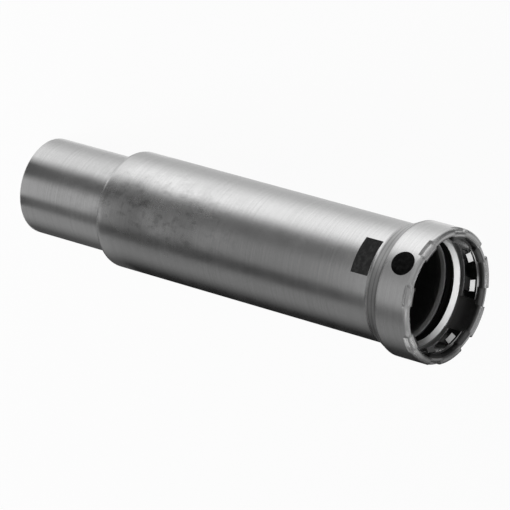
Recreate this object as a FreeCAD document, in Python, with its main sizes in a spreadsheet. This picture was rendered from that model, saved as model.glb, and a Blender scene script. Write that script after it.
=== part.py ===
"""Press slip coupling for steel pipe: a plain spigot, a long slip sleeve and a press cup.

The fitting stands on its spigot's end. The axis is +Z, the origin is the centre of that end
face, the cup's mouth is at the top and the printed field faces -Y. Lengths are millimetres
and angles are degrees. Every profile is drawn as radius against height and turned about Z.
"""
import FreeCAD, Part
import os
import Sketcher

doc = FreeCAD.newDocument("press_slip_coupling")

# Driving dimensions

SIZES = {
    # the plain spigot, which takes a pipe's place in the next fitting
    "pipe_od": 33.7,
    "spigot_length": 37.5,
    "spigot_wall": 2.6,
    "end_bevel": 0.4,
    # the sleeve that slides over the pipe, and the stop inside it
    "sleeve_length": 116.9,
    "sleeve_wall": 3.2,
    "sleeve_clearance": 0.35,
    "step_round": 2.0,
    "stop_web": 1.0,
    "stop_run": 3.5,
    # the shoulder and the press cup, whose bore leaves a space round the pipe for the rings
    "shoulder_run": 5.8,
    "ring_space": 3.35,
    "cup_wall": 2.9,
    "chamber_inset": 1.2,
    "chamber_round": 2.0,
    "lip_round": 1.2,
    "lip_inner_round": 1.2,
    # the dents pressed into the lip, which hold the rings in
    "dent_count": 8,
    "dent_angle": 17.0,
    "dent_depth": 1.05,
    "dent_length": 2.1,
    "dent_turn": 25.9,
    # the seal and the separator at the bottom of the cup
    "ring_clearance": 0.1,
    "seal_length": 3.2,
    "seal_clearance": 0.4,
    "seal_valley": 0.7,
    "seal_bevel": 0.6,
    "separator_length": 2.1,
    "separator_flange": 0.9,
    "separator_clearance": 0.7,
    "separator_cone_rise": 0.45,
    "separator_crest": 0.2,
    "separator_back_rise": 0.15,
    # the split grip ring with its windows and tongues
    "grip_length": 7.7,
    "grip_sheet": 0.85,
    "grip_bevel": 0.5,
    "grip_gap_angle": 35.0,
    "grip_turn": 94.6,
    "window_count": 10,
    "window_inset_angle": 13.5,
    "window_angle": 13.6,
    "window_rear_rim": 2.1,
    "window_front_rim": 1.5,
    "tongue_angle": 12.2,
    "tongue_length": 1.75,
    "tongue_tilt": 51.0,
    "tongue_sheet": 0.6,
    "tongue_root": 0.3,
    # the printed marks: the dot by its gap from the lip, the label by its gap from the shoulder
    "print_thickness": 0.12,
    "print_turn": 270.0,
    "dot_diameter": 8.4,
    "dot_gap": 1.85,
    "label_length": 6.8,
    "label_angle": 36.5,
    "label_gap": 0.7,
    # how far a cutting profile runs past what it cuts
    "overcut": 1.0,
}

sheet = doc.addObject("Spreadsheet::Sheet", "Sizes")
for row, (name, value) in enumerate(SIZES.items(), start=1):
    sheet.set("A%d" % row, name)
    sheet.set("B%d" % row, str(value))
    sheet.setAlias("B%d" % row, name)
doc.recompute()

# Radii and heights that several pieces share, as formulas of the sheet's cells

SPIGOT_R = "(Sizes.pipe_od / 2)"
SPIGOT_BORE_R = "(" + SPIGOT_R + " - Sizes.spigot_wall)"
SLEEVE_BORE_R = "(" + SPIGOT_R + " + Sizes.sleeve_clearance)"
SLEEVE_R = "(" + SLEEVE_BORE_R + " + Sizes.sleeve_wall)"
CUP_BORE_R = "(" + SPIGOT_R + " + Sizes.ring_space)"
CUP_R = "(" + CUP_BORE_R + " + Sizes.cup_wall)"
RING_R = "(" + CUP_BORE_R + " - Sizes.ring_clearance)"
SHOULDER_FOOT = "(Sizes.spigot_length + Sizes.sleeve_length)"
SHOULDER_TOP = "(" + SHOULDER_FOOT + " + Sizes.shoulder_run)"
SEAL_FOOT = "(" + SHOULDER_TOP + " - Sizes.chamber_inset)"
SEAL_TOP = "(" + SEAL_FOOT + " + Sizes.seal_length)"
FLANGE_TOP = "(" + SEAL_TOP + " + Sizes.separator_flange)"
GRIP_FOOT = "(" + FLANGE_TOP + " + Sizes.ring_clearance)"
GRIP_TOP = "(" + GRIP_FOOT + " + Sizes.grip_length)"
DENT_FOOT = "(" + GRIP_TOP + " + Sizes.ring_clearance)"
LIP_TOP = "(" + DENT_FOOT + " + Sizes.dent_length)"


# Tools for bodies, profiles and turned features

def new_body(label, turn="0"):
    """A body named as its sub-part, turned about the fitting's axis by a formula's angle."""
    body = doc.addObject("PartDesign::Body", label)
    body.Label = label
    body.Placement = FreeCAD.Placement(FreeCAD.Vector(), FreeCAD.Rotation(FreeCAD.Vector(0, 0, 1), 1))
    body.setExpression("Placement.Rotation.Angle", "(" + turn + ") * 1 deg")
    return body


def origin_item(body, role):
    """One of the body's own origin planes or axes."""
    return next(item for item in body.Origin.OriginFeatures if item.Role == role)


def named_constraint(sketch, name, constraint, formula):
    """Adds a driving constraint under a name and keeps the formula that it will be bound to."""
    sketch.renameConstraint(sketch.addConstraint(constraint), name)
    return name, formula


def profile_sketch(body, name, corners):
    """A closed outline on the body's XZ plane, bound to the sheet.

    A corner is (radius, height) or (radius, height, rounding), each a formula. Sides are
    straight lines from corner to corner, and a corner's rounding is an arc tangent to both.
    """
    sketch = body.newObject("Sketcher::SketchObject", name)
    sketch.AttachmentSupport = [(origin_item(body, "XZ_Plane"), "")]
    sketch.MapMode = "FlatFace"
    points = [FreeCAD.Vector(sheet.evalExpression(c[0]), sheet.evalExpression(c[1]), 0) for c in corners]
    count = len(points)
    for i in range(count):
        sketch.addGeometry(Part.LineSegment(points[i], points[(i + 1) % count]), False)
    for i in range(count):
        sketch.addConstraint(Sketcher.Constraint("Coincident", i, 2, (i + 1) % count, 1))
    bound = []
    for i, corner in enumerate(corners):
        across = Sketcher.Constraint("DistanceX", -1, 1, i, 1, points[i].x)
        upward = Sketcher.Constraint("DistanceY", -1, 1, i, 1, points[i].y)
        bound.append(named_constraint(sketch, "radius_%d" % i, across, corner[0]))
        bound.append(named_constraint(sketch, "height_%d" % i, upward, corner[1]))
    for i, corner in enumerate(corners):
        if len(corner) == 3:
            rounding = sheet.evalExpression(corner[2])
            arc = sketch.GeometryCount
            sketch.fillet(i, 1, rounding, 1, True)
            radius = Sketcher.Constraint("Radius", arc, rounding)
            bound.append(named_constraint(sketch, "rounding_%d" % i, radius, corner[2]))
    for constraint, formula in bound:
        sketch.setExpression("Constraints." + constraint, formula)
    return sketch


def turned(body, kind, name, sketch, angle=None, back_angle=None):
    """Turns a profile about Z: all the way round, by an angle centred on the profile, or by
    one angle forwards and another one backwards.
    """
    feature = body.newObject("PartDesign::" + kind, name)
    feature.Profile = sketch
    feature.ReferenceAxis = (origin_item(body, "Z_Axis"), [""])
    if angle is not None:
        feature.setExpression("Angle", angle)
        feature.Midplane = back_angle is None
    if back_angle is not None:
        feature.Type = "TwoAngles"
        feature.setExpression("Angle2", back_angle)
    sketch.Visibility = False
    return feature


def repeated(body, name, features, count, angle):
    """Repeats features about Z: count copies, spread over an angle."""
    pattern = body.newObject("PartDesign::PolarPattern", name)
    pattern.Originals = features
    pattern.Axis = (origin_item(body, "Z_Axis"), [""])
    pattern.setExpression("Angle", angle)
    pattern.setExpression("Occurrences", count)
    body.Tip = pattern


# The fitting body

def inner_nose(radius, height, rounding):
    """Corners of a bore's rounded front edge, as two cones that meet at half the turn: each
    lies on the circle of that rounding whose centre is inside the wall.
    """
    half_turn = rounding + " * (1 - cos(45 deg))"
    return [
        (radius + " + " + rounding, height),
        (radius + " + " + half_turn, height + " - " + half_turn),
        (radius, height + " - " + rounding),
    ]


def fitting_body():
    """One tube formed to shape: spigot, stop, sleeve, shoulder, cup and dented lip."""
    body = new_body("fitting_body", "Sizes.dent_turn")
    wall = profile_sketch(body, "wall_profile", [
        (SPIGOT_BORE_R, "0"),
        (SPIGOT_R + " - Sizes.end_bevel", "0"),
        (SPIGOT_R, "Sizes.end_bevel"),
        (SPIGOT_R, "Sizes.spigot_length"),
        (SLEEVE_R, "Sizes.spigot_length", "Sizes.step_round"),
        (SLEEVE_R, SHOULDER_FOOT),
        (CUP_R, SHOULDER_TOP),
        (CUP_R, LIP_TOP, "Sizes.lip_round"),
        *inner_nose(CUP_BORE_R, LIP_TOP, "Sizes.lip_inner_round"),
        (CUP_BORE_R, SEAL_FOOT),
        *inner_nose(SLEEVE_BORE_R, SEAL_FOOT, "Sizes.chamber_round"),
        (SLEEVE_BORE_R, "Sizes.spigot_length + Sizes.stop_web + Sizes.stop_run"),
        (SPIGOT_BORE_R, "Sizes.spigot_length + Sizes.stop_web"),
    ])
    turned(body, "Revolution", "wall", wall)
    # a dent is the lip's own section moved inwards: a tab comes inside, and a hollow goes outside
    inside = profile_sketch(body, "dent_inside", [
        (CUP_BORE_R + " - Sizes.dent_depth", DENT_FOOT),
        (CUP_BORE_R + " + Sizes.cup_wall / 2", DENT_FOOT),
        (CUP_BORE_R + " + Sizes.cup_wall / 2", LIP_TOP),
        *inner_nose("(" + CUP_BORE_R + " - Sizes.dent_depth)", LIP_TOP, "Sizes.lip_inner_round"),
    ])
    tab = turned(body, "Revolution", "dent_tab", inside, "Sizes.dent_angle")
    repeated(body, "dent_tabs", [tab], "Sizes.dent_count", "360")
    outside = profile_sketch(body, "dent_outside", [
        (CUP_R + " - Sizes.dent_depth", DENT_FOOT),
        (CUP_R + " - Sizes.dent_depth", LIP_TOP, "Sizes.lip_round"),
        (CUP_BORE_R, LIP_TOP),
        (CUP_BORE_R, LIP_TOP + " + Sizes.overcut"),
        (CUP_R + " + Sizes.overcut", LIP_TOP + " + Sizes.overcut"),
        (CUP_R + " + Sizes.overcut", DENT_FOOT),
    ])
    hollow = turned(body, "Groove", "dent_hollow", outside, "Sizes.dent_angle")
    repeated(body, "dent_hollows", [hollow], "Sizes.dent_count", "360")
    return body


# The rings in the cup

def seal_ring():
    """The rubber profile seal: two bevelled lips with a valley between them."""
    body = new_body("seal_ring")
    lip_r = "(" + SPIGOT_R + " + Sizes.seal_clearance)"
    section = profile_sketch(body, "seal_section", [
        (RING_R, SEAL_FOOT),
        (RING_R, SEAL_TOP),
        (lip_r + " + Sizes.seal_bevel", SEAL_TOP),
        (lip_r, SEAL_TOP + " - Sizes.seal_bevel"),
        (lip_r + " + Sizes.seal_valley", SEAL_FOOT + " + Sizes.seal_length / 2"),
        (lip_r, SEAL_FOOT + " + Sizes.seal_bevel"),
        (lip_r + " + Sizes.seal_bevel", SEAL_FOOT),
    ])
    turned(body, "Revolution", "seal", section)
    return body


def separator_ring():
    """The ring that keeps the grip ring off the seal: a flange with a crest inside it, whose
    inner face is a cone.
    """
    body = new_body("separator_ring")
    inner_r = "(" + SPIGOT_R + " + Sizes.separator_clearance)"
    crest_top = SEAL_TOP + " + Sizes.separator_length"
    crest_r = "(" + inner_r + " + Sizes.separator_cone_rise)"
    back_r = "(" + crest_r + " + Sizes.separator_crest)"
    section = profile_sketch(body, "separator_section", [
        (inner_r, SEAL_TOP),
        (RING_R, SEAL_TOP),
        (RING_R, FLANGE_TOP),
        (back_r + " + Sizes.separator_back_rise", FLANGE_TOP),
        (back_r, crest_top),
        (crest_r, crest_top),
    ])
    turned(body, "Revolution", "separator", section)
    return body


def grip_ring():
    """The split ring of spring sheet, with punched windows and tongues bent inwards.

    The first window lies on the profile's plane, a set angle from the ring's first end, and
    the pattern spreads the rest evenly to the same angle from the other end.
    """
    turn = "Sizes.grip_turn + Sizes.grip_gap_angle / 2 + Sizes.window_inset_angle"
    body = new_body("grip_ring", turn)
    inner_r = "(" + RING_R + " - Sizes.grip_sheet)"
    window_foot = "(" + GRIP_FOOT + " + Sizes.window_rear_rim)"
    window_top = "(" + GRIP_TOP + " - Sizes.window_front_rim)"
    band = profile_sketch(body, "band_section", [
        (inner_r, GRIP_FOOT),
        (RING_R, GRIP_FOOT),
        (RING_R, GRIP_TOP),
        (inner_r + " + Sizes.grip_bevel", GRIP_TOP),
        (inner_r, GRIP_TOP + " - Sizes.grip_bevel"),
    ])
    turned(body, "Revolution", "band", band,
           "360 - Sizes.grip_gap_angle - Sizes.window_inset_angle", "Sizes.window_inset_angle")
    spread = "360 - Sizes.grip_gap_angle - 2 * Sizes.window_inset_angle"
    punch = profile_sketch(body, "window_section", [
        (inner_r + " - Sizes.overcut", window_foot),
        (RING_R + " + Sizes.overcut", window_foot),
        (RING_R + " + Sizes.overcut", window_top),
        (inner_r + " - Sizes.overcut", window_top),
    ])
    window = turned(body, "Groove", "window", punch, "Sizes.window_angle")
    repeated(body, "windows", [window], "Sizes.window_count", spread)
    # the tongue leaves the window's front edge and leans inwards, away from the mouth
    root_top = "(" + window_top + " + Sizes.tongue_root)"
    tip_r = "(" + inner_r + " - Sizes.tongue_length * sin(Sizes.tongue_tilt))"
    tip_top = "(" + root_top + " - Sizes.tongue_length * cos(Sizes.tongue_tilt))"
    heel_r = "(" + tip_r + " + Sizes.tongue_sheet * cos(Sizes.tongue_tilt))"
    heel_top = "(" + tip_top + " - Sizes.tongue_sheet * sin(Sizes.tongue_tilt))"
    back_top = "(" + heel_top + " + (" + RING_R + " - " + heel_r + ") / tan(Sizes.tongue_tilt))"
    bend = profile_sketch(body, "tongue_section", [
        (RING_R, root_top),
        (inner_r, root_top),
        (tip_r, tip_top),
        (heel_r, heel_top),
        (RING_R, back_top),
    ])
    tongue = turned(body, "Revolution", "tongue", bend, "Sizes.tongue_angle")
    repeated(body, "tongues", [tongue], "Sizes.window_count", spread)
    return body


# The printed marks

def drum(name, radius, height, foot):
    """A cylinder about Z, as a tool for the round mark."""
    cylinder = doc.addObject("Part::Cylinder", name)
    cylinder.setExpression("Radius", radius)
    cylinder.setExpression("Height", height)
    cylinder.setExpression("Placement.Base.z", foot)
    return cylinder


def marker_dot():
    """The round marker: a disc cut from a thin skin that lies on the cup."""
    centre = "(" + LIP_TOP + " - Sizes.dot_gap - Sizes.dot_diameter / 2)"
    height = "Sizes.dot_diameter + 2 * Sizes.overcut"
    foot = centre + " - Sizes.dot_diameter / 2 - Sizes.overcut"
    skin = doc.addObject("Part::Cut", "dot_skin")
    skin.Base = drum("dot_skin_outside", CUP_R + " + Sizes.print_thickness", height, foot)
    skin.Tool = drum("dot_skin_inside", CUP_R, height, foot)
    stamp = drum("dot_stamp", "Sizes.dot_diameter / 2", CUP_R + " + Sizes.overcut", centre)
    stamp.Placement.Rotation = FreeCAD.Rotation(FreeCAD.Vector(1, 0, 0), 90)
    dot = doc.addObject("Part::Common", "marker_dot")
    dot.Label = "marker_dot"
    dot.Base = skin
    dot.Tool = stamp
    return dot


def label_field():
    """The dark rectangular field, a thin skin bent round the sleeve."""
    body = new_body("label_field", "Sizes.print_turn")
    top = "(" + SHOULDER_FOOT + " - Sizes.label_gap)"
    foot = "(" + top + " - Sizes.label_length)"
    section = profile_sketch(body, "label_section", [
        (SLEEVE_R, foot),
        (SLEEVE_R + " + Sizes.print_thickness", foot),
        (SLEEVE_R + " + Sizes.print_thickness", top),
        (SLEEVE_R, top),
    ])
    turned(body, "Revolution", "label", section, "Sizes.label_angle")
    return body


# Build, test and write the sub-parts

pieces = [fitting_body(), seal_ring(), separator_ring(), grip_ring(), marker_dot(), label_field()]
doc.recompute()

for item in doc.Objects:
    if "Invalid" in item.State or "Error" in item.State:
        raise RuntimeError("%s did not build: %s" % (item.Name, item.State))
for piece in pieces:
    if piece.Shape.isNull() or not piece.Shape.isValid() or len(piece.Shape.Solids) != 1:
        raise RuntimeError("%s is not one valid solid" % piece.Label)

os.makedirs("parts", exist_ok=True)
for piece in pieces:
    piece.Shape.exportStep("parts/%s.step" % piece.Label)
    print("%s: %.1f cubic millimetres, %d faces" % (piece.Label, piece.Shape.Volume, len(piece.Shape.Faces)))
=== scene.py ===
"""Looks, light and camera for a press slip coupling of satin steel.

The fitting stands on its spigot's end with its axis on Z. Lengths are metres and angles are
degrees. Angles round the axis count from +X towards +Y, as seen from the cup's mouth.
"""

import math

import bpy
import numpy as np
from mathutils import Matrix, Vector


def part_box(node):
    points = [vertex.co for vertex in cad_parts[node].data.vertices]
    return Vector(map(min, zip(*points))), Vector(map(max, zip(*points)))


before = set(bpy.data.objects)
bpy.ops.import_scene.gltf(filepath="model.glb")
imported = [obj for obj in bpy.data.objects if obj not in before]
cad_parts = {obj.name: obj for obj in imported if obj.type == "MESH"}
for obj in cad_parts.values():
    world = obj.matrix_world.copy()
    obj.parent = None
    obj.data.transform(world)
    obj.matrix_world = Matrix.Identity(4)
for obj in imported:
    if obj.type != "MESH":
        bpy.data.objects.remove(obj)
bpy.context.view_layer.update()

# The photograph's viewpoint

VIEW_TURN = 286.7           # where the camera stands, as an angle round the axis
VIEW_HEIGHT = 36.18         # how far the camera looks down on a standing fitting
PICTURE_ROLL = 105.88       # how far the picture is turned, so that the fitting lies in it
CAMERA_DISTANCE = 1.5717    # from the camera's plane to the middle of the spigot's end
PICTURE_SIZE = 510
FOCAL_PIXELS = 4500.0
ORIGIN_PIXEL = (51.3, 185.3)   # where the middle of the spigot's end lies in the picture
SENSOR = 36.0

# Sizes read from the frame

spigot_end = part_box("fitting_body")[0].z
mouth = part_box("fitting_body")[1].z
cup_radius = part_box("fitting_body")[1].x

# Sizes of the CAD model that the frame doesn't give

SPIGOT_RADIUS = 0.01685
SLEEVE_RADIUS = 0.0204
SPIGOT_INSIDE = 0.0155         # radii that lie within each part's wall
SLEEVE_INSIDE = 0.0188
CUP_INSIDE = 0.0204
OUTER_SKIN = (0.02025, 0.02035)   # the radii over which the outside of sleeve and cup begins
SLEEVE_FOOT = 0.0385           # a height just above the sleeve's foot
BORE_EDGE = (0.1566, 0.1592)   # the heights between which the bore opens into the cup
RING_RIM = (0.1702, 0.1707)    # the heights over which the grip ring's cut rim begins

# Where the finishes and the painted shade lie. A pair holds two heights, and a spot an angle, a radius and a
# height

# The shoulder's band: rougher, and with painted shade on one side
ROUGH_AND_SHADED_SHOULDER = (0.1550, 0.1604)
SHOULDER_SHADE_SPOT = (282.0, 0.0218, 0.1580)   # the side on which painted shade darkens the shoulder most
SHOULDER_SHADE_REACH = (0.020, 0.020, 0.020)
CREASES = (0.1559, 0.1582, 0.1603)    # three lines of painted shade round the shoulder
CREASE_HALF_WIDTH = 0.0003
UNSHADED_BORE_EDGE = (0.1580, 0.1592)         # the turned edge of the bore, left out of the painted shade inside
LIP_SHADE_SPOT = (30.0, 0.0218, 0.1725)   # the side on which painted shade darkens the lip most
LIP_SHADE_REACH = (0.018, 0.018, 0.006)
HANDLED_SPOT = (284.0, SLEEVE_RADIUS, 0.062)   # the middle of the handling marks
HANDLED_REACH = (0.020, 0.020, 0.055)
SOFT_FOLDS = (0.1538, 0.1618)         # where the shoulder bends in soft curves
SOFT_STEP = (0.0365, 0.0400)          # where the sleeve's foot does
SOFT_RIM = (0.1716, 0.1740)           # and where the lip does

# How far each finish and painted shade takes to fade into the next one

SKIN_FADE = 0.0002
CREASE_FADE = 0.0001
SHOULDER_FADE = 0.0003
RIM_FADE = 0.0003
STEP_FADE = 0.0005
FOLD_FADE = 0.001
WALL_FADE = 0.001
BORE_FADE = 0.003

# How strong each finish and painted shade is

STEEL_LEVEL = 0.78             # the brightness of the plain steel
INSIDE_SHADE = 0.3             # the share of it that painted shade leaves on the inside of the tube
LIP_PAINTED_SHADE = 0.4            # where painted shade darkens the lip most
CREASE_SHADE = 0.70            # in a crease, as painted shade
RING_RIM_SHADE = 0.4           # and on the grip ring's cut rim
SHOULDER_PAINTED_SHADE = 0.38        # the share that the shoulder loses to painted shade on its darkest side
SHOULDER_ROUGHNESS = 0.15
INSIDE_ROUGHNESS = (0.30, 0.22)   # what the inside adds in the bore, and in the cup
EDGE_ROUNDING = (0.0004, 0.002)   # how widely the shading rounds an edge, and a soft bend
MARKER_INK = (0.001, 0.008)    # the brightness of each ink where it is dense, and worn
LABEL_INK = (0.014, 0.034)


def grey(level):
    """A neutral colour whose shown brightness is level, from 0 to 1."""
    linear = level / 12.92 if level <= 0.04045 else ((level + 0.055) / 1.055) ** 2.4
    return (linear, linear, linear, 1.0)


# Small helpers for shader trees

def blank_material(name):
    """A material with one Principled shader, and its tree."""
    material = bpy.data.materials.new(name)
    material.use_nodes = True
    tree = material.node_tree
    tree.nodes.clear()
    out = tree.nodes.new("ShaderNodeOutputMaterial")
    shader = tree.nodes.new("ShaderNodeBsdfPrincipled")
    tree.links.new(shader.outputs["BSDF"], out.inputs["Surface"])
    return material, tree, shader


def put(tree, socket, value):
    """Links an output to a socket, or sets the socket's own value."""
    if isinstance(value, bpy.types.NodeSocket):
        tree.links.new(value, socket)
    else:
        socket.default_value = value


def step(tree, kind, inputs, output=0, **settings):
    """Adds a node, fills its inputs by place or name, and returns one of its outputs."""
    node = tree.nodes.new(kind)
    for name, value in settings.items():
        setattr(node, name, value)
    for key, value in inputs.items():
        put(tree, node.inputs[key], value)
    return node.outputs[output]


def maths(tree, operation, a, b=0.0, c=0.0, clamp=False):
    return step(tree, "ShaderNodeMath", {0: a, 1: b, 2: c}, operation=operation, use_clamp=clamp)


def object_place(tree):
    return step(tree, "ShaderNodeTexCoord", {}, output="Object")


def stretched_noise(tree, scale, detail=3.0, roughness=0.6, offset=(0.0, 0.0, 0.0)):
    """Noise on Object coordinates, with its own scale along each axis."""
    place = step(tree, "ShaderNodeMapping",
                 {"Vector": object_place(tree), "Scale": scale, "Location": offset})
    return step(tree, "ShaderNodeTexNoise",
                {"Vector": place, "Scale": 1.0, "Detail": detail, "Roughness": roughness})


def between(tree, value, low, high, to_low, to_high):
    """Carries a value from one range to another one, and stops at its ends."""
    return step(tree, "ShaderNodeMapRange",
                {"Value": value, "From Min": low, "From Max": high, "To Min": to_low, "To Max": to_high},
                clamp=True)


def soft_spot(tree, centre, reach):
    """1 at a point on the piece, falling smoothly to 0 at a distance on each axis."""
    inverse = tuple(1.0 / r for r in reach)
    offset = tuple(-c / r for c, r in zip(centre, reach))
    place = step(tree, "ShaderNodeMapping",
                 {"Vector": object_place(tree), "Scale": inverse, "Location": offset})
    length = step(tree, "ShaderNodeVectorMath", {0: place}, output="Value", operation="LENGTH")
    return step(tree, "ShaderNodeMapRange",
                {"Value": length, "From Min": 0.0, "From Max": 1.0, "To Min": 1.0, "To Max": 0.0},
                interpolation_type="SMOOTHSTEP", clamp=True)


def total(tree, value, *others):
    """The sum of some values."""
    for other in others:
        value = maths(tree, "ADD", value, other)
    return value


def product(tree, value, *others):
    """The product of some values."""
    for other in others:
        value = maths(tree, "MULTIPLY", value, other)
    return value


def grey_of(tree, level):
    """A neutral colour whose three parts are one level."""
    return step(tree, "ShaderNodeCombineColor", {0: level, 1: level, 2: level})


def axis_distance(tree):
    """How far a place on the piece is from the axis."""
    parts = step(tree, "ShaderNodeMapping", {"Vector": object_place(tree), "Scale": (1.0, 1.0, 0.0)})
    return step(tree, "ShaderNodeVectorMath", {0: parts}, output="Value", operation="LENGTH")


def height_of(tree):
    parts = tree.nodes.new("ShaderNodeSeparateXYZ")
    tree.links.new(object_place(tree), parts.inputs[0])
    return parts.outputs[2]


def tube_inside(tree):
    """1 on the inside of the tube, 0 outside."""
    height = height_of(tree)
    wall = between(tree, height, SLEEVE_FOOT, SLEEVE_FOOT + WALL_FADE, SPIGOT_INSIDE, SLEEVE_INSIDE)
    cup_rise = between(tree, height, *BORE_EDGE, 0.0, CUP_INSIDE - SLEEVE_INSIDE)
    past_wall = maths(tree, "SUBTRACT", axis_distance(tree), total(tree, wall, cup_rise))
    return between(tree, past_wall, 0.0, SKIN_FADE, 1.0, 0.0)


# Painted shade: the colour of the tube's inside is darkened
def shaded_inside(tree, inside):
    """1 on the inside of the tube, which is darkened as painted shade, 0 outside and on the bore's turned
    edge.
    """
    height = height_of(tree)
    low, high = UNSHADED_BORE_EDGE
    below = between(tree, height, low - BORE_FADE, low + WALL_FADE, 1.0, 0.0)
    above = between(tree, height, high, high + SKIN_FADE, 0.0, 1.0)
    return product(tree, inside, total(tree, below, above))


def height_band(tree, low, high, edge):
    """1 between two heights, falling to 0 over an edge beyond each."""
    height = height_of(tree)
    rise = between(tree, height, low - edge, low + edge, 0.0, 1.0)
    fall = between(tree, height, high - edge, high + edge, 1.0, 0.0)
    return product(tree, rise, fall)


def outer_band(tree, low, high, edge):
    """A band of heights on the outside of the sleeve and the cup alone."""
    outside = between(tree, axis_distance(tree), *OUTER_SKIN, 0.0, 1.0)
    return product(tree, height_band(tree, low, high, edge), outside)


def on_surface(turn, radius, height):
    """The point at an angle round the axis, a radius and a height."""
    a = math.radians(turn)
    return (radius * math.cos(a), radius * math.sin(a), height)


# Finishes, and painted shade on the steel

def steel_tone(tree, fine_rings, stain, marks):
    """What the brushing, the grain and the handling marks add to the steel's brightness."""
    rings = stretched_noise(tree, (35.0, 35.0, 2400.0), detail=4.0)
    grain = stretched_noise(tree, (1500.0, 1500.0, 1500.0), detail=3.0, roughness=0.7)
    patches = stretched_noise(tree, (320.0, 320.0, 260.0), detail=4.0, roughness=0.6, offset=(1.0, 8.0, 2.0))
    handled = total(tree, between(tree, marks, 0.36, 0.64, 0.12, -0.26),
                    between(tree, patches, 0.50, 0.68, 0.02, -0.24))
    return total(tree, between(tree, rings, 0.25, 0.75, -0.05, 0.05),
                 between(tree, fine_rings, 0.3, 0.7, -0.03, 0.03),
                 between(tree, grain, 0.3, 0.7, -0.025, 0.025),
                 product(tree, stain, handled))


def steel_shade(tree, shoulder, inside):
    """The share of its brightness that the steel keeps under painted shade: on one side of the shoulder, in
    its creases, on the inside of the tube and on one side of the lip.
    """
    # Painted shade: the shoulder's colour is darkened on one side
    shaded_side = soft_spot(tree, on_surface(*SHOULDER_SHADE_SPOT), SHOULDER_SHADE_REACH)
    shoulder_shade = product(tree, shoulder, between(tree, shaded_side, 0.0, 0.5, 0.0, SHOULDER_PAINTED_SHADE))
    # Painted shade: three dark lines in the colour round the shoulder
    creased = total(tree, *[outer_band(tree, z - CREASE_HALF_WIDTH, z + CREASE_HALF_WIDTH, CREASE_FADE)
                            for z in CREASES])
    # Painted shade: the lip's colour is darkened on one side
    lip_shade = soft_spot(tree, on_surface(*LIP_SHADE_SPOT), LIP_SHADE_REACH)
    return product(tree, maths(tree, "SUBTRACT", 1.0, shoulder_shade),
                   between(tree, creased, 0.0, 1.0, 1.0, CREASE_SHADE),
                   between(tree, shaded_inside(tree, inside), 0.0, 1.0, 1.0, INSIDE_SHADE),
                   between(tree, lip_shade, 0.0, 0.5, 1.0, LIP_PAINTED_SHADE))


def steel_roughness(tree, shoulder, inside, stain, marks):
    """Cloudy, and rougher where it was handled, on the shoulder and inside."""
    clouds = stretched_noise(tree, (120.0, 120.0, 90.0), detail=5.0, roughness=0.65)
    return total(tree, between(tree, clouds, 0.3, 0.7, 0.20, 0.27),
                 product(tree, stain, between(tree, marks, 0.34, 0.66, 0.0, 0.10)),
                 product(tree, shoulder, SHOULDER_ROUGHNESS),
                 product(tree, inside, between(tree, height_of(tree), *BORE_EDGE, *INSIDE_ROUGHNESS)))


def steel_normal(tree, fine_rings):
    """Rounded edges, softer bends at the shoulder, the sleeve's foot and the lip, and the brushing."""
    bends = total(tree, outer_band(tree, *SOFT_FOLDS, FOLD_FADE),
                  height_band(tree, *SOFT_STEP, STEP_FADE), height_band(tree, *SOFT_RIM, RIM_FADE))
    rounding = between(tree, bends, 0.0, 1.0, *EDGE_ROUNDING)
    rounded = step(tree, "ShaderNodeBevel", {"Radius": rounding}, samples=6)
    return step(tree, "ShaderNodeBump",
                {"Strength": 0.12, "Distance": 0.00002, "Height": fine_rings, "Normal": rounded})


def satin_steel():
    """Formed steel tube: fine rings left by brushing, cloudy handling marks near the sleeve's foot and a
    rougher shoulder, with painted shade on one side of the shoulder, in three creases round it, on the
    inside of the tube and on one side of the lip.
    """
    material, tree, shader = blank_material("satin_steel")
    fine_rings = stretched_noise(tree, (60.0, 60.0, 9000.0), detail=2.0, offset=(3.0, 1.0, 7.0))
    marks = stretched_noise(tree, (85.0, 85.0, 60.0), detail=2.5, roughness=0.5, offset=(5.0, 2.0, 4.0))
    stain = soft_spot(tree, on_surface(*HANDLED_SPOT), HANDLED_REACH)
    shoulder = outer_band(tree, *ROUGH_AND_SHADED_SHOULDER, SHOULDER_FADE)
    inside = tube_inside(tree)
    tone = total(tree, steel_tone(tree, fine_rings, stain, marks), STEEL_LEVEL)
    level = product(tree, tone, steel_shade(tree, shoulder, inside))
    put(tree, shader.inputs["Base Color"], grey_of(tree, level))
    shader.inputs["Metallic"].default_value = 1.0
    put(tree, shader.inputs["Roughness"], steel_roughness(tree, shoulder, inside, stain, marks))
    shader.inputs["Anisotropic"].default_value = 0.6
    tangent = step(tree, "ShaderNodeTangent", {}, direction_type="RADIAL", axis="Z")
    put(tree, shader.inputs["Tangent"], tangent)
    put(tree, shader.inputs["Normal"], steel_normal(tree, fine_rings))
    return material


def spring_steel():
    """Bright stainless sheet of the grip ring, with faint rolling lines and a duller cut rim."""
    material, tree, shader = blank_material("spring_steel")
    lines = stretched_noise(tree, (50.0, 50.0, 5000.0), detail=3.0)
    sheet = total(tree, between(tree, lines, 0.3, 0.7, -0.04, 0.04), 0.5)
    level = product(tree, sheet, between(tree, height_of(tree), *RING_RIM, 1.0, RING_RIM_SHADE))
    put(tree, shader.inputs["Base Color"], grey_of(tree, level))
    shader.inputs["Metallic"].default_value = 1.0
    put(tree, shader.inputs["Roughness"], between(tree, lines, 0.3, 0.7, 0.14, 0.22))
    put(tree, shader.inputs["Normal"], step(tree, "ShaderNodeBevel", {"Radius": 0.00012}, samples=6))
    return material


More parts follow.
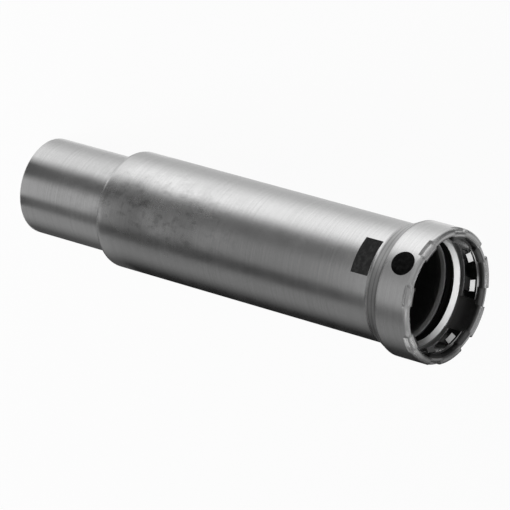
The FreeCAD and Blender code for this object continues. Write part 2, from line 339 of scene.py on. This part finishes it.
def seal_rubber():
    """Matte black rubber with a fine grain."""
    material, tree, shader = blank_material("seal_rubber")
    grain = stretched_noise(tree, (2500.0, 2500.0, 2500.0), detail=2.0)
    level = between(tree, grain, 0.3, 0.7, 0.001, 0.003)
    put(tree, shader.inputs["Base Color"], grey_of(tree, level))
    shader.inputs["Roughness"].default_value = 0.6
    shader.inputs["Specular IOR Level"].default_value = 0.06
    return material


def separator_plastic():
    """White moulded plastic, slightly soft in its gloss."""
    material, tree, shader = blank_material("separator_plastic")
    cast = stretched_noise(tree, (200.0, 200.0, 200.0), detail=2.0)
    level = between(tree, cast, 0.3, 0.7, 0.76, 0.82)
    put(tree, shader.inputs["Base Color"], grey_of(tree, level))
    shader.inputs["Roughness"].default_value = 0.4
    return material


def print_ink(name, dense, thin):
    """Dark ink, dense at one level and a little worn up to another one."""
    material, tree, shader = blank_material(name)
    wear = stretched_noise(tree, (900.0, 900.0, 900.0), detail=4.0, roughness=0.7)
    level = between(tree, wear, 0.45, 0.75, dense, thin)
    put(tree, shader.inputs["Base Color"], grey_of(tree, level))
    put(tree, shader.inputs["Roughness"], between(tree, wear, 0.3, 0.7, 0.45, 0.6))
    shader.inputs["Specular IOR Level"].default_value = 0.06
    return material


def dress(node, material):
    """Gives a CAD node its finish."""
    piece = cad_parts[node]
    piece.data.materials.clear()
    piece.data.materials.append(material)


def dress_all():
    dress("fitting_body", satin_steel())
    dress("seal_ring", seal_rubber())
    dress("separator_ring", separator_plastic())
    dress("grip_ring", spring_steel())
    dress("marker_dot", print_ink("marker_ink", *MARKER_INK))
    dress("label_field", print_ink("label_ink", *LABEL_INK))


# Studio

FLOOR_RADIUS = 6.0
FLOOR_WHITE = 0.95           # how much of the floor is plain white where it is seen
ROOM_STRENGTH = 0.12         # the room's light on matt surfaces
SPIGOT_BELT = (0.0172, 0.071)   # the radii between which each part mirrors the floor
SLEEVE_BELT = (0.071, 0.236)
CUP_BELT = (0.236, 3.0)
BOARD_DROP = 0.0001          # how far the cards, and the floor under them, lie below the fitting
FLOOR_DROP = 0.0003
MIRROR_STEPS = 4
TENT_RADIUS = 3.0
TENT_RINGS = 16
TENT_TURNS = 64
TENT_TONE = 0.22
PANEL_CORE = 0.6             # how much of a panel's half width has its full tone

KEY_BOX = {"turn": 298.0, "height_angle": 28.0, "distance": 1.4, "size": 0.5, "power": 17.0}
FILL_BOX = {"turn": 335.0, "height_angle": 50.0, "distance": 1.6, "size": 1.0, "power": 4.0}


def studio_mesh(name, points, faces):
    """A linked object with a mesh of its own, for the studio."""
    mesh = bpy.data.meshes.new(name)
    mesh.from_pydata(points.tolist(), [], faces)
    piece = bpy.data.objects.new(name, mesh)
    bpy.context.collection.objects.link(piece)
    return piece


def only_mirrored(piece):
    """Leaves a studio piece to the shiny surfaces alone."""
    piece.visible_camera = False
    piece.visible_diffuse = False
    piece.visible_shadow = False


def empty_material(name):
    """A studio material with an empty tree."""
    material = bpy.data.materials.new(name)
    material.use_nodes = True
    material.node_tree.nodes.clear()
    return material, material.node_tree


def show(tree, shader, kind="ShaderNodeOutputMaterial"):
    """Ends a tree with a shader."""
    tree.links.new(shader, tree.nodes.new(kind).inputs["Surface"])


def flat_disc(name, inner, outer, height, rings=24, turns=96):
    """A flat disc or washer: at (u, v) the radius goes from inner to outer with the cube of u,
    and the angle is v turns.
    """
    u = np.linspace(0.0, 1.0, rings + 1) ** 3
    v = np.arange(turns) / turns * 2.0 * np.pi
    radius = (inner + (outer - inner) * u)[:, None]
    x = radius * np.cos(v)[None, :]
    y = radius * np.sin(v)[None, :]
    points = np.stack([x, y, np.full_like(x, height)], axis=-1).reshape(-1, 3)
    i, j = np.meshgrid(np.arange(rings), np.arange(turns), indexing="ij")
    k = (j + 1) % turns
    faces = np.stack([i * turns + j, (i + 1) * turns + j, (i + 1) * turns + k, i * turns + k], axis=-1)
    piece = studio_mesh(name, points, faces.reshape(-1, 4).tolist())
    return piece


def seen_directly(tree):
    """1 for rays from the camera, from shiny surfaces and through glass, else 0."""
    path = tree.nodes.new("ShaderNodeLightPath")
    direct = maths(tree, "ADD", path.outputs["Is Camera Ray"], path.outputs["Is Glossy Ray"])
    return maths(tree, "ADD", direct, path.outputs["Is Transmission Ray"], clamp=True)


def white_floor():
    """A pale floor that shows nearly white and keeps a faint shadow of the fitting."""
    floor = flat_disc("floor", 0.0, FLOOR_RADIUS, spigot_end - FLOOR_DROP)
    material, tree = empty_material("floor_paper")
    paper = step(tree, "ShaderNodeBsdfDiffuse", {"Color": grey(0.93)})
    white = step(tree, "ShaderNodeEmission", {"Color": grey(1.0), "Strength": 1.0})
    share = maths(tree, "MULTIPLY", seen_directly(tree), FLOOR_WHITE)
    show(tree, step(tree, "ShaderNodeMixShader", {0: share, 1: paper, 2: white}))
    floor.data.materials.append(material)


# The cards on the floor round the fitting, by the angles on the tube between which each shows:
# 0 is the tube's edge at the picture's top, 90 faces the camera and 180 is the lower edge. A card
# is even between its two angles, and the light fades from each card to the next one.
CARD_SPANS = {
    "edge_light": (1.5, 8.0),
    "upper_card": (20.0, 31.0),
    "key_strip": (48.0, 61.0),
    "dark_flag": (72.0, 84.0),
    "front_card": (92.0, 108.0),
    "seam": (113.0, 121.0),
    "lower_card": (125.0, 138.0),
    "shade": (156.0, 179.5),
}

# How bright each card is, in the order of the spans. Each part of the fitting mirrors its own
# belt of the floor, so that each has its own cards.
SPIGOT_TONES = (0.90, 0.50, 0.80, 0.10, 0.40, 0.10, 0.28, 0.07)
SLEEVE_TONES = (0.65, 0.50, 1.00, 0.11, 0.22, 0.045, 0.21, 0.01)
CUP_TONES = (0.95, 0.58, 1.10, 0.26, 0.38, 0.14, 0.21, 0.02)


def card_stops(tones):
    """The ramp's stops: each card's tone at both of its angles, after the shade at the start."""
    stops = [(0.0, tones[-1])]
    for (low, high), tone in zip(CARD_SPANS.values(), tones):
        stops += [(low, tone), (high, tone)]
    return stops


def mirrored_angle(tree, tube_radius):
    """The angle on a tube that shows a place on the floor to the camera, as a share of 180.

    A place at radius R and angle f lies in the mirror of the angle a where 2a is f less the
    arcsine of r/R cos a, r being the tube's radius. The steps close in on a.
    """
    parts = tree.nodes.new("ShaderNodeSeparateXYZ")
    tree.links.new(object_place(tree), parts.inputs[0])
    turn = maths(tree, "ARCTAN2", parts.outputs[1], parts.outputs[0])
    far_side = math.radians(VIEW_TURN - 180.0)
    ahead = maths(tree, "WRAP", maths(tree, "SUBTRACT", turn, far_side), 2.0 * math.pi, 0.0)
    ratio = maths(tree, "DIVIDE", tube_radius, axis_distance(tree), clamp=True)
    angle = maths(tree, "MULTIPLY", ahead, 0.5)
    for _ in range(MIRROR_STEPS):
        lead = maths(tree, "ARCSINE", maths(tree, "MULTIPLY", ratio, maths(tree, "COSINE", angle)))
        angle = maths(tree, "MULTIPLY", maths(tree, "SUBTRACT", ahead, lead), 0.5)
    return maths(tree, "DIVIDE", angle, math.pi)


def studio_cards(name, inner, outer, tube_radius, tones):
    """The cards of one belt, as a washer on the floor that is seen only in reflections.

    Its brightness goes by the angle on the tube, so that each card lies as one long band on it.
    """
    board = flat_disc(name, inner, outer, spigot_end - BOARD_DROP)
    only_mirrored(board)
    material, tree = empty_material(name)
    ramp = tree.nodes.new("ShaderNodeValToRGB")
    tree.links.new(mirrored_angle(tree, tube_radius), ramp.inputs[0])
    stops = ramp.color_ramp.elements
    while len(stops) > 1:
        stops.remove(stops[-1])
    for n, (angle, tone) in enumerate(card_stops(tones)):
        stop = stops[0] if n == 0 else stops.new(angle / 180.0)
        stop.position = angle / 180.0
        stop.color = (tone, tone, tone, 1.0)
    show(tree, step(tree, "ShaderNodeEmission", {"Color": ramp.outputs[0], "Strength": 1.0}))
    board.data.materials.append(material)


def direction(turn, height_angle):
    a, h = math.radians(turn), math.radians(height_angle)
    return Vector((math.cos(a) * math.cos(h), math.sin(a) * math.cos(h), math.sin(h)))


# Panels of the tent overhead: angle round the axis, height, half width, and what each adds to
# the tent's tone or takes from it
TENT_PANELS = [
    (338.0, 60.0, 14.0, 1.3),
    (32.0, 37.0, 13.0, 1.3),
    (195.0, 45.0, 12.0, 0.5),
    (106.7, 36.0, 24.0, 0.25),
    (250.0, 25.0, 50.0, 0.15),
    (165.0, 20.0, 40.0, -0.12),
    (50.0, 15.0, 20.0, -0.08),
]


def studio_tent():
    """A dim dome over the studio with a few bright panels, seen only in reflections.

    At (u, v) the dome's height angle is 90 u degrees and its angle round the axis is v turns.
    """
    u = np.linspace(0.0, 0.5 * np.pi, TENT_RINGS + 1)[:-1]
    v = np.arange(TENT_TURNS) / TENT_TURNS * 2.0 * np.pi
    x = np.cos(u)[:, None] * np.cos(v)[None, :]
    y = np.cos(u)[:, None] * np.sin(v)[None, :]
    z = np.repeat(np.sin(u)[:, None], TENT_TURNS, axis=1)
    rows = np.stack([x, y, z], axis=-1).reshape(-1, 3)
    points = np.concatenate([rows, [[0.0, 0.0, 1.0]]]) * TENT_RADIUS
    i, j = np.meshgrid(np.arange(TENT_RINGS - 1), np.arange(TENT_TURNS), indexing="ij")
    k = (j + 1) % TENT_TURNS
    walls = np.stack([i * TENT_TURNS + j, i * TENT_TURNS + k,
                      (i + 1) * TENT_TURNS + k, (i + 1) * TENT_TURNS + j], axis=-1).reshape(-1, 4)
    last = (TENT_RINGS - 1) * TENT_TURNS
    j = np.arange(TENT_TURNS)
    roof = np.stack([last + j, last + (j + 1) % TENT_TURNS, np.full(TENT_TURNS, len(points) - 1)], axis=-1)
    tent = studio_mesh("studio_tent", points, walls.tolist() + roof.tolist())
    only_mirrored(tent)
    tent.visible_transmission = False
    material, tree = empty_material("studio_tent")
    place = step(tree, "ShaderNodeVectorMath", {0: object_place(tree)}, operation="NORMALIZE")
    tone = TENT_TONE
    for turn, height_angle, half_width, strength in TENT_PANELS:
        near = step(tree, "ShaderNodeVectorMath", {0: place, 1: direction(turn, height_angle)},
                    output="Value", operation="DOT_PRODUCT")
        edge = math.cos(math.radians(half_width))
        core = math.cos(math.radians(half_width * PANEL_CORE))
        tone = maths(tree, "ADD", tone, between(tree, near, edge, core, 0.0, strength))
    show(tree, step(tree, "ShaderNodeEmission", {"Color": grey(1.0), "Strength": tone}))
    tent.data.materials.append(material)


def room_light():
    """An even pale room, white where it is seen or mirrored."""
    world = bpy.data.worlds.new("room")
    bpy.context.scene.world = world
    world.use_nodes = True
    tree = world.node_tree
    tree.nodes.clear()
    strength = between(tree, seen_directly(tree), 0.0, 1.0, ROOM_STRENGTH, 1.0)
    light = step(tree, "ShaderNodeBackground", {"Color": grey(1.0), "Strength": strength})
    show(tree, light, "ShaderNodeOutputWorld")


def soft_box(name, turn, height_angle, distance, size, power):
    """A square lamp that points at the fitting's middle and shows in none of its metal."""
    lamp = bpy.data.lights.new(name, "AREA")
    lamp.shape = "SQUARE"
    lamp.size = size
    lamp.energy = power
    box = bpy.data.objects.new(name, lamp)
    bpy.context.collection.objects.link(box)
    outwards = direction(turn, height_angle)
    middle = Vector((0.0, 0.0, mouth / 2.0))
    box.location = middle + outwards * distance
    box.rotation_euler = (-outwards).to_track_quat("-Z", "Y").to_euler()
    box.visible_glossy = False


def place_camera():
    """The camera stands at its angle and height, is rolled, and is moved in its own plane until
    the middle of the spigot's end falls on its place in the picture.
    """
    data = bpy.data.cameras.new("camera")
    camera = bpy.data.objects.new("camera", data)
    bpy.context.collection.objects.link(camera)
    data.sensor_width = SENSOR
    data.lens = FOCAL_PIXELS / PICTURE_SIZE * SENSOR
    data.clip_start = 0.05
    data.clip_end = 50.0
    back = direction(VIEW_TURN, VIEW_HEIGHT)
    right = Vector((0.0, 0.0, 1.0)).cross(back).normalized()
    up = back.cross(right)
    level = Matrix((right, up, back)).transposed()
    turned = level @ Matrix.Rotation(math.radians(PICTURE_ROLL), 3, "Z")
    metres_per_pixel = CAMERA_DISTANCE / FOCAL_PIXELS
    across = (ORIGIN_PIXEL[0] - PICTURE_SIZE / 2) * metres_per_pixel
    down = (ORIGIN_PIXEL[1] - PICTURE_SIZE / 2) * metres_per_pixel
    camera.location = -(turned @ Vector((across, -down, -CAMERA_DISTANCE)))
    camera.rotation_euler = turned.to_euler()
    bpy.context.scene.camera = camera


dress_all()
white_floor()
studio_cards("spigot_cards", *SPIGOT_BELT, SPIGOT_RADIUS, SPIGOT_TONES)
studio_cards("sleeve_cards", *SLEEVE_BELT, SLEEVE_RADIUS, SLEEVE_TONES)
studio_cards("cup_cards", *CUP_BELT, cup_radius, CUP_TONES)
studio_tent()
room_light()
soft_box("key_box", **KEY_BOX)
soft_box("fill_box", **FILL_BOX)
place_camera()
bpy.context.scene.view_settings.view_transform = "Standard"
